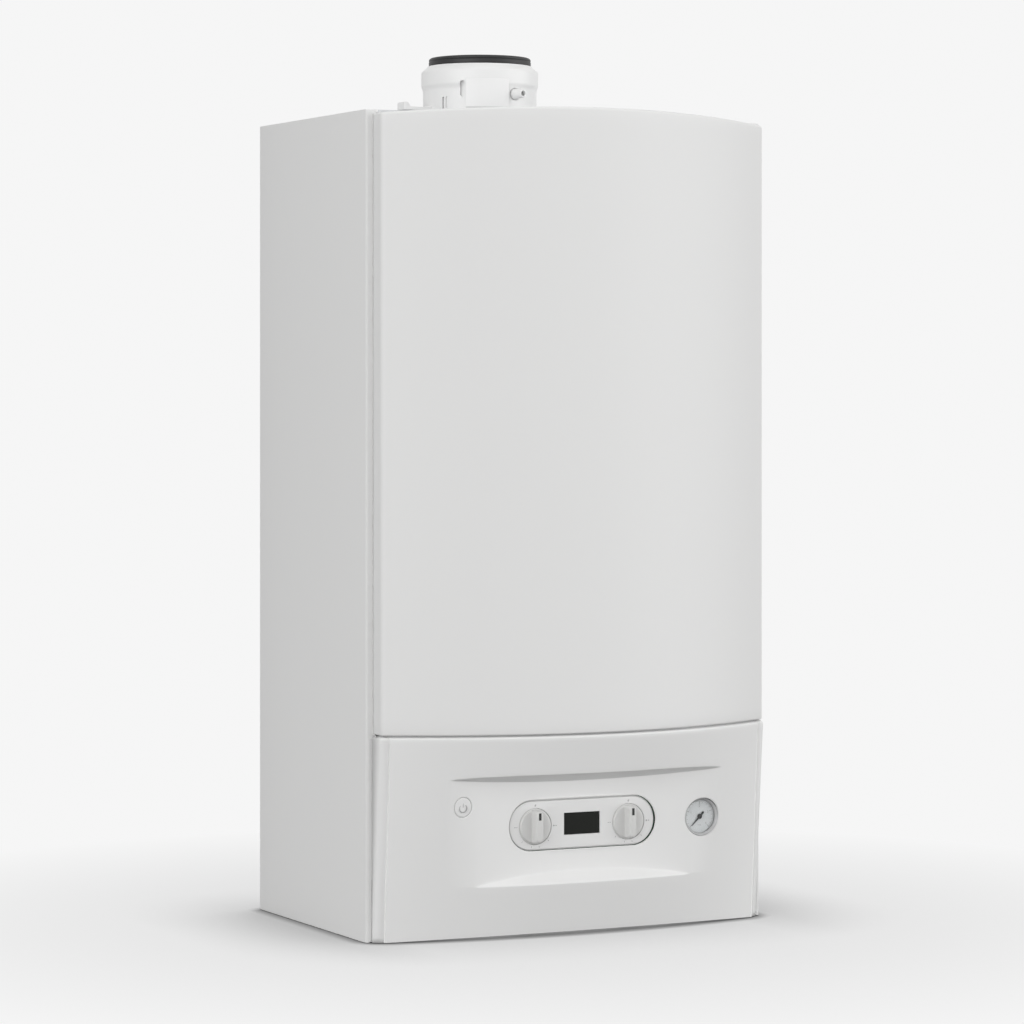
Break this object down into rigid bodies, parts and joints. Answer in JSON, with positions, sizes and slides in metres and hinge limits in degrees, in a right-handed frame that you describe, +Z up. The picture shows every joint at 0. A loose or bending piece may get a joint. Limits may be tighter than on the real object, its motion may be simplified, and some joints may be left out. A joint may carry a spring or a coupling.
{
  "type": "wall-hung condensing boiler",
  "caption": "Wall-hung condensing boiler with bowed lift-off cover, swing-down control panel, knobs, display, pressure gauge and concentric flue adaptor.",
  "frame": {"origin": "middle of the lower edge of the box round the whole boiler, at the level of the side panels' feet", "axes": "+Z up along the height, +Y towards the wall, -Y towards the user, +X to the user's right"},
  "size_m": [0.403, 0.321, 0.807],
  "materials": {
    "white_paint": "satin white powder coat",
    "zinc_sheet": "bare zinc-coated sheet",
    "steel": "brushed stainless",
    "white_plastic": "satin moulded white",
    "flue_plastic": "satin moulded off-white",
    "display_glass": "tinted gloss window",
    "clear_lens": "clear gloss lens",
    "black_plastic": "moulded black",
    "grey_plastic": "moulded grey",
    "green_board": "coated circuit board",
    "black_rubber": "moulded rubber",
    "cast_metal": "as cast",
    "ceramic": "glazed ceramic",
    "copper": "drawn copper tube",
    "red_paint": "gloss red",
    "red_plastic": "moulded red",
    "brass": "machined brass"
  },
  "bodies": {
    "casing": {"left_side_panel": "white_paint", "right_side_panel": "white_paint", "back_plate": "zinc_sheet", "top_plate": "zinc_sheet", "bottom_plate": "zinc_sheet", "hinge_pin_left": "steel", "hinge_pin_right": "steel", "flue_adaptor": "flue_plastic", "flue_seal": "black_rubber", "inner_flue_pipe": "flue_plastic", "heat_exchanger": "steel", "burner": "steel", "burner_door": "cast_metal", "ignition_electrode": "ceramic", "fan_housing": "cast_metal", "fan_motor": "black_plastic", "venturi": "grey_plastic", "air_intake_silencer": "black_plastic", "gas_valve": "cast_metal", "lower_gas_pipe": "copper", "upper_gas_pipe": "copper", "condensate_trap": "grey_plastic", "condensate_hose": "black_rubber", "condensate_drain": "grey_plastic", "expansion_vessel": "red_paint", "plate_heat_exchanger": "steel", "flow_block": "brass", "return_block": "brass", "pump_housing": "cast_metal", "pump_motor": "black_plastic", "air_vent": "brass", "safety_valve": "brass", "diverter_motor": "black_plastic", "return_pipe": "copper", "flow_pipe": "copper", "flow_stub": "brass", "hot_water_stub": "brass", "gas_stub": "brass", "cold_water_stub": "brass", "return_stub": "brass"},
    "cover": {"front_cover": "white_paint"},
    "panel": {"control_fascia": "white_plastic", "control_bezel": "white_plastic", "display_window": "display_glass", "display_module": "black_plastic", "heating_potentiometer": "grey_plastic", "hot_water_potentiometer": "grey_plastic", "power_switch": "black_plastic", "gauge_housing": "white_plastic", "gauge_dial": "white_plastic", "gauge_lens": "clear_lens", "electronics_box": "black_plastic", "control_board": "green_board"},
    "heating_knob": {"heating_knob": "white_plastic"},
    "hot_water_knob": {"hot_water_knob": "white_plastic"},
    "power_button": {"power_button": "white_plastic"},
    "gauge_needle": {"gauge_needle": "black_plastic"},
    "fan_rotor": {"fan_impeller": "grey_plastic"},
    "pump_rotor": {"pump_impeller": "grey_plastic"},
    "safety_valve_knob": {"safety_valve_knob": "red_plastic"}
  },
  "joints": [
    {"name": "cover_lift_off", "type": "slide", "parent": "casing", "child": "cover", "axis": [0, -1, 0], "range_m": [0, 0.35]},
    {"name": "panel_hinge", "type": "hinge", "parent": "casing", "child": "panel", "pos_m": [0, -0.1085, 0.027], "axis": [1, 0, 0], "range_deg": [0, 75]},
    {"name": "heating_knob_turn", "type": "hinge", "parent": "panel", "child": "heating_knob", "pos_m": [-0.04735, -0.1095, 0.0984], "axis": [0, 1, 0], "range_deg": [-135, 135]},
    {"name": "hot_water_knob_turn", "type": "hinge", "parent": "panel", "child": "hot_water_knob", "pos_m": [0.04735, -0.1095, 0.0984], "axis": [0, 1, 0], "range_deg": [-135, 135]},
    {"name": "power_button_press", "type": "slide", "parent": "panel", "child": "power_button", "axis": [0, 1, 0], "range_m": [0, 0.0015], "stiffness_N_per_m": 800, "springref_m": -0.0005},
    {"name": "gauge_needle_turn", "type": "hinge", "parent": "panel", "child": "gauge_needle", "pos_m": [0.12128, -0.1147, 0.0993], "axis": [0, 1, 0], "range_deg": [0, 270]},
    {"name": "fan_spin", "type": "hinge", "parent": "casing", "child": "fan_rotor", "pos_m": [0.128, 0.0105, 0.462], "axis": [0, -1, 0], "continuous": true},
    {"name": "pump_spin", "type": "hinge", "parent": "casing", "child": "pump_rotor", "pos_m": [0.13, 0.0605, 0.196], "axis": [0, -1, 0], "continuous": true},
    {"name": "safety_valve_turn", "type": "hinge", "parent": "casing", "child": "safety_valve_knob", "pos_m": [0.1163, 0.0125, 0.075], "axis": [0, 1, 0], "range_deg": [0, 90]}
  ]
}
